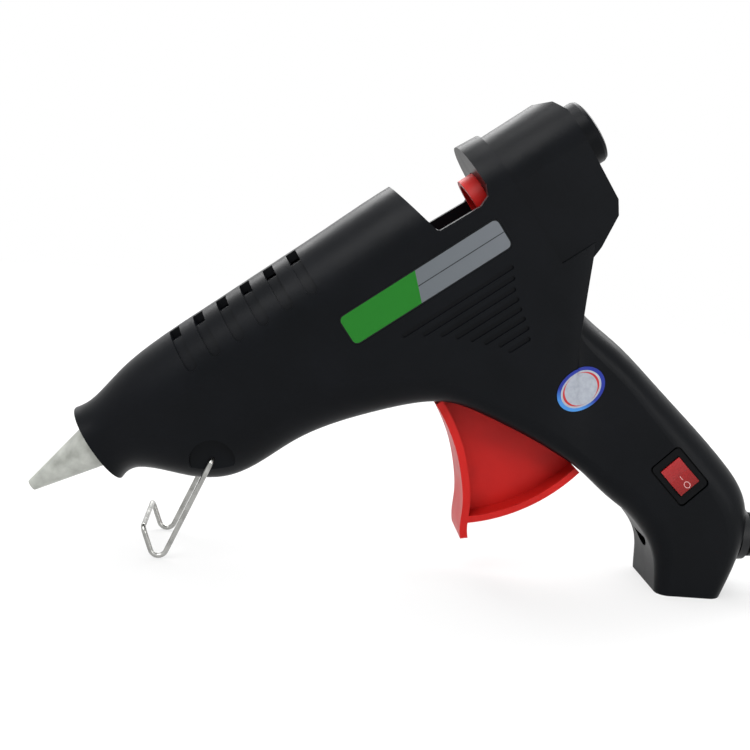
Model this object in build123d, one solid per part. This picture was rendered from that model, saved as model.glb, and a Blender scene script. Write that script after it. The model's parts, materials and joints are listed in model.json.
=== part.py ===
from build123d import *
import math
import os

# Hot-melt glue gun on its wire stand, in millimetres, drawn in the gun's own frame and stood up at the end.
# Gun frame: u runs from the nozzle tip along the glue-stick axis to the rear, v is square to it and up,
# y runs across, with the left side of the gun at -y.

# ---- driving dimensions -------------------------------------------------------------------------------
STICK_D = 11.2
STICK_BORE_R = STICK_D / 2 + 0.3
INLET_BORE_R = STICK_D / 2 + 0.6
GUN_END_U = 196.2
RIM_U = 24.0
WALL = 2.4
STEP_U = 166.5
HUMP_END_U = 190.4
HUMP_HALF_W = 16.4
HUMP_TOP_V = 15.2
BOSS_R = 9.9
FLAT_HALF_W = 17.1
RUN_GAP = 0.05
FREE_GAP = 0.3
SEAT_GAP = 0.02

# trigger and feed
PIVOT = (129.3, -30.5)
PIVOT_R = 2.5
TRIGGER_ARC_R = 55.1
TRIGGER_HALF_W = 9.0
TRIGGER_TRAVEL_DEG = 18.0
DRIVE_ARM = 22.4
DRIVE_PIN_R = 2.0

# wire stand
WIRE_R = 0.75
STAND_HINGE = (51.3, -20.5)
STAND_CORNER = (19.8, -38.9)
STAND_HOOK = (23.6, -26.2)
STAND_LEG_Y = 13.4
STAND_BEND_R = 2.4
HINGE_BEND_R = 1.4
HINGE_POCKET_R = 6.6
HINGE_POCKET_WALL = 1.0

# cord
CORD_D = 5.8
CORD_TOTAL = 1200.0
CORD_STRAIGHT = 22.0
CORD_DROP_RUN = 32.0
CORD_FLOOR_RUN = 28.0
BEND_SHARE = 0.45
HANK_LOOP_R = 3 * CORD_D
HANK_WAIST_R = 24.0
HANK_WAIST_HALF = CORD_D / 2 + 0.2
HANK_Y = 3.0
HANK_CHANNEL_GAP = 0.3
TIE_W = 12.0
TIE_T = 0.8
TIE_GAP = 0.1
TIE_CORNER = 0.75
TAIL_LENGTH = 24.0
TAIL_BACK = 14.0
TAIL_LIFT = 0.1
PLUG_BOOT_R = (4.0, 5.8)
PLUG_BOOT_LENGTH = 16.0
PLUG_SHOULDER = (11.4, 16.0)
PLUG_SHOULDER_ROUND = 5.5
PLUG_GRIP = (14.0, 22.0)
PLUG_GRIP_ROUND = 4.0
PLUG_LENGTH = 38.0
PLUG_BLADE = (6.3, 1.5, 17.0)
BLADE_PITCH = 12.7

# ---- the housing's outer form: one station per line ----------------------------------------------------
# back or top point, front or bottom point, half width, crown rounding (across, deep), keel rounding
STATIONS = [
    ((24.0, 12.4), (24.0, -12.4), 12.4, (11.9, 12.0), (11.9, 12.0)),
    ((33.0, 12.6), (33.0, -14.4), 12.9, (12.3, 12.4), (12.3, 13.0)),
    ((42.5, 14.9), (42.5, -23.0), 14.7, (14.0, 15.0), (11.0, 17.0)),
    ((50.5, 16.0), (50.5, -27.9), 15.7, (15.2, 16.0), (10.5, 18.0)),
    ((74.0, 16.7), (74.0, -29.7), 16.8, (16.0, 16.4), (10.0, 15.0)),
    ((97.0, 17.0), (97.0, -34.5), 17.1, (16.4, 16.6), (9.0, 13.0)),
    ((117.0, 17.3), (112.2, -40.3), 17.1, (16.4, 17.0), (8.0, 11.0)),
    ((134.0, 17.6), (119.5, -45.2), 17.1, (16.4, 17.2), (6.0, 8.0)),
    ((152.0, 17.0), (124.5, -51.8), 17.1, (16.2, 17.2), (5.0, 6.5)),
    ((170.0, 15.8), (128.0, -57.5), 17.1, (15.8, 17.0), (4.5, 6.0)),
    ((184.0, 9.5), (131.5, -63.5), 17.1, (14.0, 14.0), (4.5, 6.0)),
    ((189.0, -7.0), (134.8, -69.8), 17.0, (12.0, 12.0), (4.5, 6.0)),
    ((176.4, -26.4), (138.0, -76.8), 16.2, (10.6, 11.6), (4.5, 6.0)),
    ((166.4, -35.0), (140.5, -83.5), 15.4, (10.2, 10.8), (5.0, 6.5)),
    ((165.8, -44.4), (142.2, -90.5), 14.9, (9.5, 10.0), (6.0, 7.5)),
    ((169.6, -56.9), (143.8, -96.5), 14.7, (9.5, 10.0), (6.5, 8.0)),
    ((173.3, -73.7), (145.9, -103.0), 14.6, (9.5, 10.0), (7.0, 8.0)),
    ((176.8, -91.3), (147.0, -110.0), 14.5, (9.5, 10.0), (6.5, 7.5)),
    ((179.4, -107.0), (146.7, -116.6), 14.5, (9.5, 10.0), (5.5, 6.5)),
    ((179.6, -118.2), (144.9, -121.6), 14.6, (9.3, 9.8), (4.6, 5.4)),
    ((176.4, -126.2), (142.2, -126.0), 14.6, (9.0, 9.4), (4.0, 4.6)),
    ((171.8, -131.6), (139.9, -129.8), 14.5, (8.6, 8.8), (3.6, 4.0)),
    ((166.2, -136.2), (138.8, -133.2), 14.4, (8.2, 8.2), (3.6, 4.0)),
    ((160.8, -139.9), (138.6, -136.8), 14.3, (7.8, 7.6), (3.6, 4.0)),
    ((155.6, -143.2), (138.8, -141.4), 14.2, (7.0, 6.8), (3.6, 4.0)),
]
CROWN_INSET_ACROSS = 0.8
CROWN_INSET_DEEP = 0.6
QUARTER = 0.5523

# housing details
VENT_U = 62.0
VENT_PITCH = 8.1
VENT_COUNT = 6
VENT_W = 3.3
VENT_DEPTH = 0.8
VENT_OPEN_V = 14.0
VENT_LOW_V = 6.2
VENT_BRIDGE_HALF = 2.4
LABEL_CENTRE = (130.7, -9.4)
LABEL_SIZE = (53.4, 9.8)
LABEL_DEPTH = 0.5
STICKER_CENTRE = (152.7, -60.6)
STICKER_SIZE = (15.5, 12.0)
STICKER_THICK = 0.25
GROOVE_W = 1.3
GROOVE_DEPTH = 0.6
GROOVE_ROWS = [
    (117.6, 153.6, -19.0),
    (122.8, 152.3, -21.9),
    (127.0, 150.9, -24.8),
    (130.2, 150.2, -27.7),
    (133.4, 149.4, -30.6),
    (136.3, 148.9, -33.5),
    (139.4, 148.4, -36.4),
    (141.0, 147.1, -39.3),
]
SCREWS = [
    (66.0, -23.3),
    (126.0, 11.3),
    (181.0, -20.5),
    (106.0, -29.0),
    (160.0, -58.0),
    (148.0, -126.0),
]
SCREW_R = 1.45
SCREW_HEAD_R = 2.8
SCREW_HEAD_H = 2.0
SCREW_SEAT_Y = 8.0
SCREW_LENGTH = 19.0
SCREW_BOSS_R = 4.3

# switch
SWITCH_CENTRE = (164.6, -100.3)
SWITCH_ANGLE = -81.5
BEZEL_SIZE = (15.0, 10.4)
SWITCH_BODY_SIZE = (12.6, 8.4)
ROCKER_SIZE = (9.4, 7.0)
BEZEL_FLOOR_Y = -13.2
BEZEL_T = 1.2

# melt chamber train along the stick axis
NOZZLE_BASE_R = 6.4
NOZZLE_BASE_U = 21.0
CHAMBER_U = (26.0, 92.0)
CHAMBER_R = 8.6
RING_R = 10.2
RING_US = (37.0, 85.0)
RING_W = 4.0
SPIGOT_U = 84.0
SPIGOT_R = 7.6
SLEEVE_U = (89.6, 116.0)
HEATER_U = (44.0, 84.0)
HEATER_HALF_W = 8.0
HEATER_LOW_V = -17.0
HEATER_SLOT_V = (-14.2, -10.2)
ELECTRODE_T = 0.4

# carriage
TUBE_U = (155.0, 176.0)
TUBE_R = 8.0
CARRIAGE_BORE_R = STICK_BORE_R + 0.6
PLATE_Y = (4.0, 6.8)
PLATE_V = (-13.0, -5.0)

# clamp jaw under the carriage tube
JAW_PIN = (168.0, -10.5)
JAW_PIN_R = 1.2

# the foremost corner of the butt's flat end, which stands on the floor
HEEL = (146.8, -133.9)

# cord exit
EXIT_CENTRE = (171.9, -131.6)
RELIEF_SEAT = 0.2
RELIEF_END = 38.0
RELIEF_FLANGE_R = 8.2
RELIEF_PITCH = 4.9
CORD_INNER_END = -22.0
CLAMP_AT = -16.5
CLAMP_SCREW_X = 7.4
LEAD_R = 0.9
LEAD_RUN_V = -19.0
LEAD_Y = 10.8


def at(u, v, y=0.0):
    return Vector(u, y, v)


def rod(u, v, y0, y1, radius):
    """A round bar across the gun."""
    return Pos(u, (y0 + y1) / 2, v) * Rot(90, 0, 0) * Cylinder(radius, abs(y1 - y0))


def bar(u0, u1, radius, v=0.0, y=0.0):
    """A round bar along the stick axis."""
    return Pos((u0 + u1) / 2, y, v) * Rot(0, 90, 0) * Cylinder(radius, u1 - u0)


def block(u0, u1, y0, y1, v0, v1):
    return Pos((u0 + u1) / 2, (y0 + y1) / 2, (v0 + v1) / 2) * Box(u1 - u0, y1 - y0, v1 - v0)


def side_plate(points, y0, y1):
    """A closed side outline given as (u, v) points, thick from y0 to y1."""
    wire = Polyline([at(u, v, y0) for u, v in points], close=True)
    return Solid.extrude(Face(Wire(wire.edges())), Vector(0, y1 - y0, 0))


def turned(profile):
    """A body turned about the stick axis from (u, r) points."""
    wire = Polyline([at(u, r) for u, r in profile], close=True)
    return Solid.revolve(Face(Wire(wire.edges())), 360, Axis.X)


def quarter_round(start, corner, end):
    a = [s + (c - s) * QUARTER for s, c in zip(start, corner)]
    b = [e + (c - e) * QUARTER for e, c in zip(end, corner)]
    return Bezier(start, tuple(a), tuple(b), end)


def section(back, front, half_w, crown, keel, inset, over):
    """The left half of one station, closed on the parting plane or a little over it."""
    top = at(*back)
    low = at(*front)
    rise = (top - low).normalized()
    top = top - rise * inset
    low = low + rise * inset
    h = (top - low).length / 2
    w = half_w - inset
    cx = min(max(crown[0] - inset * CROWN_INSET_ACROSS, 1.0), w - 0.25)
    kx = min(max(keel[0] - inset * CROWN_INSET_ACROSS, 1.0), w - 0.25)
    cy = min(max(crown[1] - inset * CROWN_INSET_DEEP, 1.0), h - 0.2)
    ky = min(max(keel[1] - inset * CROWN_INSET_DEEP, 1.0), h - 0.2)
    across = Vector(0, 1, 0)
    plane = Plane(origin=(top + low) * 0.5, x_dir=across, z_dir=across.cross(rise))
    with BuildSketch(plane) as sketch:
        with BuildLine():
            Line((over, h), (-w + cx, h))
            quarter_round((-w + cx, h), (-w, h), (-w, h - cy))
            Line((-w, h - cy), (-w, -h + ky))
            quarter_round((-w, -h + ky), (-w, -h), (-w + kx, -h))
            Line((-w + kx, -h), (over, -h))
            Line((over, -h), (over, h))
        make_face()
    return sketch.sketch.faces()[0]


def body_form(inset, over=0.0):
    form = loft([section(*station, inset=inset, over=over) for station in STATIONS])
    return form.solid()


def hump_form(inset, over=0.0):
    """The rear block the stick enters, behind the step."""
    w = HUMP_HALF_W - inset
    top = HUMP_TOP_V - inset
    back = HUMP_END_U - inset
    side = side_plate(
        [
            (STEP_U - 1.0 - inset, top),
            (back - 5.5, top),
            (back - 1.6, top - 1.6),
            (back, top - 5.5),
            (back - 1.0, -19.0 + inset * 0.3),
            (back - 3.2, -23.0 + inset * 0.8),
            (178.4, -28.2 + inset),
            (STEP_U - 1.0 - inset, -33.0 + inset),
        ],
        -w,
        over,
    )
    with BuildSketch(Plane(origin=at(STEP_U - 18, 0), x_dir=(0, 1, 0), z_dir=(1, 0, 0))) as sketch:
        with BuildLine():
            Line((over, top), (-0.4, top))
            quarter_round((-0.4, top), (-w, top), (-w, 0))
            Line((-w, 0), (-w, -60))
            Line((-w, -60), (over, -60))
            Line((over, -60), (over, top))
        make_face()
    return side & extrude(sketch.sketch, 60)


# ---- how the gun stands ----------------------------------------------------------------------------------
def bend_centre(before, corner, after, radius):
    """Centre of the bend between two runs in the side view."""
    c = Vector(*corner)
    way_in = (Vector(*before) - c).normalized()
    way_out = (Vector(*after) - c).normalized()
    half = way_in.get_angle(way_out) / 2
    middle = (way_in + way_out).normalized()
    return c + middle * (radius / math.sin(math.radians(half)))


def heights(tilt):
    """Height of the wire's foot and of the heel of the butt, along the upright for this tilt."""
    up = Vector(math.sin(tilt), math.cos(tilt))
    foot = bend_centre(STAND_HINGE, STAND_CORNER, STAND_HOOK, STAND_BEND_R)
    return foot.dot(up) - STAND_BEND_R - WIRE_R, Vector(*HEEL).dot(up)


def find_tilt():
    """The wire's foot and the heel stand on one floor, which sets how far the gun leans."""
    low, high = math.radians(30.0), math.radians(50.0)
    for _ in range(60):
        middle = (low + high) / 2
        foot, heel = heights(middle)
        low, high = (middle, high) if heel < foot else (low, middle)
    return (low + high) / 2


STAND_TILT = find_tilt()


# ---- housing -------------------------------------------------------------------------------------------
def outer_form():
    """The left half's outside, cut flat on the parting plane."""
    body = body_form(0.0, 2.0)
    body = body - block(STEP_U, GUN_END_U + 60, -40, 40, -26.0, 60)
    end = GUN_END_U
    profile = [(end - 9, 0), (end, 0), (end, BOSS_R - 1.5), (end - 0.5, BOSS_R - 0.5), (end - 1.5, BOSS_R)]
    boss = turned(profile + [(end - 9, BOSS_R)])
    return body + hump_form(0.0, 1.0) + boss - block(0, end + 9, 0, 60, -200, 60)


def cavity_form():
    """The hollow inside both halves, less the bulkheads that carry the feed."""
    cavity = body_form(WALL, 1.0) - block(STEP_U - WALL, GUN_END_U + 60, -40, 40, -28.0, 60)
    cavity = cavity - block(0, RIM_U + 2.6, -40, 40, -60, 60)
    cavity = cavity - stand_heel(WALL) + hump_form(WALL, 1.0)
    front_wall = side_plate([(134.7, 30), (138.7, -4), (141.9, -4), (140.1, 30)], -30, 30)
    rear_wall = block(159.3, 161.8, -30, 30, -4.0, 30)
    cavity = cavity - front_wall - rear_wall
    for u in RING_US:
        web = block(u + 1.0, u + RING_W - 1.0, -30, 30, -60, 60)
        cavity = cavity - (web - bar(u, u + RING_W, RING_R + RUN_GAP))
        cavity = cavity + block(u, u + RING_W, -6.0, 1.0, HEATER_SLOT_V[0] - 1, HEATER_SLOT_V[1] + 1)
    cavity = cavity + bar(130, 165, TUBE_R + FREE_GAP)
    cavity = cavity + bar(RIM_U - 1, RIM_U + 4, NOZZLE_BASE_R + 1.4)
    return cavity


def left_bosses():
    bosses = [rod(u, v, -30, 5, SCREW_BOSS_R) for u, v in SCREWS]
    pivot = rod(PIVOT[0], PIVOT[1], -30, -4.4, 5.0)
    hinge = rod(STAND_HINGE[0], STAND_HINGE[1], -30, -8.5, HINGE_POCKET_R + HINGE_POCKET_WALL)
    return bosses + [pivot, hinge]


def window_cut():
    outline = Polyline(
        [at(134.0, 30, -40), at(141.1, 1.4, -40), at(141.9, 0.7, -40), at(155.2, 0.3, -40)]
        + [at(158.2, 1.6, -40), at(159.5, 4.6, -40), at(159.5, 30, -40)],
        close=True,
    )
    return Solid.extrude(Face(Wire(outline.edges())), Vector(0, 80, 0))


def vent_cuts():
    """Six shallow pockets up the barrel's side, each open into the barrel at its top."""
    under_skin = body_form(VENT_DEPTH, 1.0)
    cuts = []
    for k in range(VENT_COUNT):
        u = VENT_U + k * VENT_PITCH
        pocket = block(u - VENT_W / 2, u + VENT_W / 2, -30, -VENT_BRIDGE_HALF, VENT_LOW_V, 30)
        pocket = pocket + rod(u, VENT_LOW_V, -30, -9.5, VENT_W / 2)
        cuts.append(pocket - under_skin)
        cuts.append(block(u - VENT_W / 2, u + VENT_W / 2, -30, -VENT_BRIDGE_HALF, VENT_OPEN_V, 30))
    return cuts


def groove_cuts(side):
    cuts = []
    floor = side * (FLAT_HALF_W - GROOVE_DEPTH)
    for u0, u1, v in GROOVE_ROWS:
        far = side * 30
        cuts.append(block(u0, u1, min(floor, far), max(floor, far), v - GROOVE_W / 2, v + GROOVE_W / 2))
        cuts += [rod(u, v, floor, far, GROOVE_W / 2) for u in (u0, u1)]
    return cuts


def rounded_prism(centre, size, radius, y0, y1, angle=0.0):
    """A rounded rectangle through the side of the gun, from y0 to y1."""
    plane = Plane(origin=at(centre[0], centre[1], y0), x_dir=(1, 0, 0), z_dir=(0, 1, 0))
    sketch = plane * Rot(0, 0, -angle) * RectangleRounded(size[0], size[1], radius)
    return extrude(sketch, y1 - y0)


def trigger_slot():
    """The mouth under the barrel and down the front of the grip."""
    w = TRIGGER_HALF_W + 0.6
    mouth = side_plate(
        [(112.4, -30.0), (112.4, -60), (141.2, -86.2), (150, -86.2), (150, -76), (134, -40), (124, -30)],
        -w,
        w,
    )
    return mouth


def exit_axis():
    """Unit vector of the cord's exit, level when the gun stands on its stand."""
    return at(math.cos(STAND_TILT), -math.sin(STAND_TILT))


def exit_plane(distance):
    """Local z runs out along the cord, local x across the gun."""
    origin = at(*EXIT_CENTRE) + exit_axis() * distance
    return Plane(origin=origin, x_dir=(0, 1, 0), z_dir=exit_axis())


def exit_bar(d0, d1, radius):
    return extrude(exit_plane(d0) * Circle(radius), d1 - d0)


def stand_heel(above=0.0):
    """Everything under the floor plane, or under a plane that much above it."""
    up = at(math.sin(STAND_TILT), math.cos(STAND_TILT))
    plane = Plane(origin=at(*HEEL) + up * above, x_dir=(0, 1, 0), z_dir=-up)
    return extrude(plane * Rectangle(100, 120), 30)


def housing_halves():
    outer = outer_form()
    shell = outer - cavity_form()
    for boss in left_bosses():
        shell = shell + (boss & outer)
    shell = shell - window_cut() - trigger_slot()
    shell = shell - vent_cuts()
    shell = shell - bar(HUMP_END_U - 6, GUN_END_U + 1, INLET_BORE_R)
    shell = shell - rod(PIVOT[0], PIVOT[1], -14.0, 1.0, PIVOT_R + SEAT_GAP)
    shell = shell - rod(STAND_HINGE[0], STAND_HINGE[1], -30, 1, WIRE_R + RUN_GAP)
    pocket_floor = WIRE_R + FREE_GAP + 0.15 - STAND_LEG_Y
    shell = shell - rod(STAND_HINGE[0], STAND_HINGE[1], -30, pocket_floor, HINGE_POCKET_R)
    shell = shell - exit_bar(-30, 14, 6.0) - exit_bar(RELIEF_SEAT, 14, RELIEF_FLANGE_R + 0.3)
    shell = shell - stand_heel()
    return shell, shell.mirror(Plane.XZ)


def left_housing(shell):
    label_floor = LABEL_DEPTH - FLAT_HALF_W
    recess = (BEZEL_SIZE[0] + 1.0, BEZEL_SIZE[1] + 1.0)
    hole = (SWITCH_BODY_SIZE[0] + 0.1, SWITCH_BODY_SIZE[1] + 0.1)
    cuts = groove_cuts(-1)
    cuts.append(rounded_prism(LABEL_CENTRE, LABEL_SIZE, 2.0, -30, label_floor))
    cuts += [rod(u, v, -12.0, 1.0, SCREW_R + SEAT_GAP) for u, v in SCREWS]
    cuts.append(rounded_prism(SWITCH_CENTRE, recess, 1.5, -30, BEZEL_FLOOR_Y, SWITCH_ANGLE))
    cuts.append(rounded_prism(SWITCH_CENTRE, hole, 0.6, -30, -5, SWITCH_ANGLE))
    return shell - cuts


def right_housing(shell):
    cuts = groove_cuts(1)
    for u, v in SCREWS:
        cuts.append(rod(u, v, -1, 30, SCREW_R + 0.15))
        cuts.append(rod(u, v, SCREW_SEAT_Y, 30, SCREW_HEAD_R + 0.2))
    return shell - cuts


def housing_screws():
    screws = []
    for u, v in SCREWS:
        head = rod(u, v, SCREW_SEAT_Y, SCREW_SEAT_Y + SCREW_HEAD_H, SCREW_HEAD_R)
        shank = rod(u, v, SCREW_SEAT_Y - SCREW_LENGTH, SCREW_SEAT_Y, SCREW_R)
        slot = block(u - 2.0, u + 2.0, SCREW_SEAT_Y + 1.2, 30, v - 0.35, v + 0.35)
        cross = block(u - 0.35, u + 0.35, SCREW_SEAT_Y + 1.2, 30, v - 2.0, v + 2.0)
        screws.append(head + shank - slot - cross)
    return Compound(screws)


def label_plate():
    size = (LABEL_SIZE[0] - 0.2, LABEL_SIZE[1] - 0.2)
    floor = LABEL_DEPTH - FLAT_HALF_W
    return rounded_prism(LABEL_CENTRE, size, 1.9, floor - LABEL_DEPTH + 0.1, floor)


def oval_sticker():
    plane = Plane(origin=at(STICKER_CENTRE[0], STICKER_CENTRE[1], -25), x_dir=(1, 0, 0), z_dir=(0, 1, 0))
    oval = extrude(plane * Ellipse(STICKER_SIZE[0] / 2, STICKER_SIZE[1] / 2), 20)
    return (oval & body_form(-STICKER_THICK)) - body_form(0.0)


# ---- trigger and feed ------------------------------------------------------------------------------------
FINGER_FRONT = [
    (114.7, -43.0),
    (114.2, -49.9),
    (112.5, -58.1),
    (109.1, -66.8),
    (104.7, -74.4),
    (100.2, -80.2),
    (99.2, -82.2),
]
FINGER_T = 2.3
TRIGGER_ARC_T = 2.0
WEB_HALF_T = 1.6
ARM_HALF_T = 2.8
ARC_START_DEG = -118.0
ARC_END_DEG = -78.6
DRIVE_LEAN_DEG = TRIGGER_TRAVEL_DEG / 2
DRIVE_PIN = (
    PIVOT[0] + DRIVE_ARM * math.sin(math.radians(DRIVE_LEAN_DEG)),
    PIVOT[1] + DRIVE_ARM * math.cos(math.radians(DRIVE_LEAN_DEG)),
)


def round_pivot(radius, degrees):
    angle = math.radians(degrees)
    return PIVOT[0] + radius * math.cos(angle), PIVOT[1] + radius * math.sin(angle)


def finger_flange():
    w = TRIGGER_HALF_W
    front = Spline([at(u, v, -w) for u, v in FINGER_FRONT])
    back_points = []
    for k, (u, v) in enumerate(FINGER_FRONT):
        before = FINGER_FRONT[max(k - 1, 0)]
        after = FINGER_FRONT[min(k + 1, len(FINGER_FRONT) - 1)]
        along = Vector(after[0] - before[0], after[1] - before[1]).normalized()
        back_points.append(at(u - along.Y * FINGER_T, v + along.X * FINGER_T, -w))
    back = Spline(back_points)
    ends = [Line(front @ 0, back @ 0), Line(front @ 1, back @ 1)]
    face = Face(Wire([front.edge(), back.edge(), ends[0].edge(), ends[1].edge()]))
    return Solid.extrude(face, Vector(0, 2 * w, 0))


def trigger():
    w = TRIGGER_HALF_W
    sector = [PIVOT] + [round_pivot(TRIGGER_ARC_R + 9, ARC_START_DEG + k * 9.85) for k in range(5)]
    ring = rod(PIVOT[0], PIVOT[1], -w, w, TRIGGER_ARC_R)
    ring = ring - rod(PIVOT[0], PIVOT[1], -w, w, TRIGGER_ARC_R - TRIGGER_ARC_T)
    arc_flange = ring & side_plate(sector, -w, w)
    web_arc = [round_pivot(TRIGGER_ARC_R - 1, ARC_START_DEG + k * 9.85) for k in range(5)]
    front = [(u + 1.4, v) for u, v in FINGER_FRONT[:5]]
    web = side_plate([(125.5, -27.0)] + front + web_arc + [(134.0, -31.0)], -WEB_HALF_T, WEB_HALF_T)
    lean = math.radians(DRIVE_LEAN_DEG)
    side = (3.0 * math.cos(lean), -3.0 * math.sin(lean))
    arm_points = [
        (PIVOT[0] - side[0], PIVOT[1] - side[1]),
        (DRIVE_PIN[0] - side[0], DRIVE_PIN[1] - side[1]),
        (DRIVE_PIN[0] + side[0], DRIVE_PIN[1] + side[1]),
        (PIVOT[0] + side[0], PIVOT[1] + side[1]),
    ]
    arm = side_plate(arm_points, -ARM_HALF_T, ARM_HALF_T)
    arm = arm + rod(DRIVE_PIN[0], DRIVE_PIN[1], -ARM_HALF_T, ARM_HALF_T, 3.0)
    hub = rod(PIVOT[0], PIVOT[1], -4.0, 4.0, 5.2)
    body = finger_flange() + arc_flange + web + hub + arm
    body = body + rod(DRIVE_PIN[0], DRIVE_PIN[1], -PLATE_Y[1], PLATE_Y[1], DRIVE_PIN_R)
    return body - rod(PIVOT[0], PIVOT[1], -9, 9, PIVOT_R + RUN_GAP)


def trigger_spring():
    """A torsion spring round the left pivot boss, one leg on the housing and one behind the finger piece."""
    wire_r, coil_r, turns, pitch = 0.5, 6.2, 3, 1.5
    start_y = -12.6
    plane = Plane(origin=at(PIVOT[0], PIVOT[1], start_y), x_dir=(-1, 0, 0), z_dir=(0, 1, 0))
    path = plane * Helix(pitch, pitch * turns, coil_r)
    begin, heading = path @ 0, path % 0
    coil = sweep(Plane(origin=begin, z_dir=heading) * Circle(wire_r), path=path, is_frenet=True)
    finish, away = path @ 1, path % 1
    leg_a = extrude(Plane(origin=begin, z_dir=-heading) * Circle(wire_r), 9.0)
    leg_b = extrude(Plane(origin=finish, z_dir=away) * Circle(wire_r), 12.0)
    return coil + leg_a + leg_b


def feed_carriage():
    u0, u1 = TUBE_U
    tube = bar(u0, u1, TUBE_R)
    for side in (-1, 1):
        y0, y1 = sorted((side * PLATE_Y[0], side * PLATE_Y[1]))
        tube = tube + block(DRIVE_PIN[0] - 4.6, u1, y0, y1, PLATE_V[0], PLATE_V[1])
        tube = tube + block(u0 + 1.0, u1, y0, y1, PLATE_V[1] - 0.5, -2.0)
    tube = tube + block(141.0, 160.0, -PLATE_Y[0], PLATE_Y[0], PLATE_V[0], PLATE_V[0] + 1.8)
    tube = tube - bar(u0 - 1, u1 + 1, CARRIAGE_BORE_R)
    slot_half = DRIVE_PIN_R + FREE_GAP
    slot_low = DRIVE_PIN[1] - DRIVE_PIN_R - 0.6
    slot_high = DRIVE_PIN[1] + DRIVE_PIN_R + 0.9
    tube = tube - block(DRIVE_PIN[0] - slot_half, DRIVE_PIN[0] + slot_half, -9, 9, slot_low, slot_high)
    tube = tube - block(JAW_PIN[0] - 5.2, JAW_PIN[0] + 5.2, -PLATE_Y[0], PLATE_Y[0], PLATE_V[0] - 1, -3.0)
    return tube - rod(JAW_PIN[0], JAW_PIN[1], -9, 9, JAW_PIN_R + SEAT_GAP)


def clamp_jaw():
    u, v = JAW_PIN
    teeth = [(u - 2.6, v - 1.0), (u - 3.2, v + 4.0)]
    teeth += [(u - 2.2, v + 3.5), (u - 1.2, v + 4.1), (u - 0.2, v + 3.6), (u + 0.8, v + 4.2)]
    teeth += [(u + 1.8, v + 3.7), (u + 3.0, v + 4.3), (u + 2.6, v - 1.0)]
    half = PLATE_Y[0] - 0.5
    jaw = side_plate(teeth, -half, half) + rod(u, v, -half, half, 2.3)
    return jaw - rod(u, v, -9, 9, JAW_PIN_R + RUN_GAP)


# ---- hot end ---------------------------------------------------------------------------------------------
def nozzle():
    tip, base, shoulder = 1.7, NOZZLE_BASE_R, CHAMBER_U[0]
    outside = [(0.0, tip), (NOZZLE_BASE_U, base), (shoulder, base), (shoulder, 4.9), (33.0, 4.9)]
    inside = [(33.0, 2.4), (12.0, 2.4), (6.0, 0.9), (0.0, 0.9)]
    return turned(outside + inside)


def melt_chamber():
    u0, u1 = CHAMBER_U
    bore = STICK_BORE_R - 0.15
    outside = [(u0, 7.4), (33.0, 7.4), (34.0, CHAMBER_R), (SPIGOT_U, CHAMBER_R), (SPIGOT_U, SPIGOT_R)]
    inside = [(u1, SPIGOT_R), (u1, bore), (42.0, bore), (38.0, 2.4), (33.3, 2.4), (33.3, 4.95), (u0, 4.95)]
    heater = block(HEATER_U[0], HEATER_U[1], -HEATER_HALF_W, HEATER_HALF_W, HEATER_LOW_V, -4.0)
    slot = block(HEATER_U[0] - 1, HEATER_U[1] + 1, -6.6, 6.6, HEATER_SLOT_V[0], HEATER_SLOT_V[1])
    return turned(outside + inside) + (heater - bar(30, 95, CHAMBER_R - 0.6)) - slot


def chamber_ring(u, bore):
    return bar(u, u + RING_W, RING_R) - bar(u - 1, u + RING_W + 1, bore + RUN_GAP)


def inlet_sleeve():
    u0, u1 = SLEEVE_U
    step = CHAMBER_U[1] + 0.4
    outside = [(u0, 9.2), (98.0, 9.2), (101.0, 7.6), (u1, 7.6)]
    seat = SPIGOT_R + SEAT_GAP
    return turned(outside + [(u1, STICK_BORE_R), (step, STICK_BORE_R), (step, seat), (u0, seat)])


def sleeve_clamp():
    return bar(90.2, 92.2, 10.0) - bar(89, 94, 9.2)


def ptc_heater():
    low, high = HEATER_SLOT_V
    return block(48, 80, -5.6, 5.6, low + ELECTRODE_T + 0.2, high - ELECTRODE_T - 0.2)


def electrode(upper):
    low, high = HEATER_SLOT_V
    v = high - 0.2 - ELECTRODE_T if upper else low + 0.2
    y0, y1 = (-5.2, -1.2) if upper else (1.2, 5.2)
    strip = block(46, 82, -5.8, 5.8, v, v + ELECTRODE_T)
    return strip + block(81, 96, y0, y1, v, v + ELECTRODE_T)


# ---- switch and wiring -----------------------------------------------------------------------------------
def along_switch():
    angle = math.radians(SWITCH_ANGLE)
    return at(math.cos(angle), math.sin(angle))


def switch_plane():
    """Local x runs along the grip, local y across it, local z out through the right side."""
    return Plane(origin=at(*SWITCH_CENTRE), x_dir=along_switch(), z_dir=(0, 1, 0))


def switch_box(length, width, y0, y1):
    return switch_plane() * Pos(0, 0, (y0 + y1) / 2) * Box(length, width, y1 - y0)


ROCKER_AXIS_Y = -12.4
ROCKER_TILT = 6.0


def switch_body():
    bezel_top = BEZEL_FLOOR_Y - BEZEL_T
    body = rounded_prism(SWITCH_CENTRE, BEZEL_SIZE, 1.2, bezel_top, BEZEL_FLOOR_Y, SWITCH_ANGLE)
    body = body + rounded_prism(SWITCH_CENTRE, SWITCH_BODY_SIZE, 0.6, BEZEL_FLOOR_Y, -3.0, SWITCH_ANGLE)
    body = body - switch_box(ROCKER_SIZE[0] + 0.9, ROCKER_SIZE[1] + 0.4, -20, -9.0)
    axle = switch_plane() * Pos(0, 0, ROCKER_AXIS_Y) * Rot(90, 0, 0) * Cylinder(0.8 + RUN_GAP, 7.9)
    return body - axle


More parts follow.
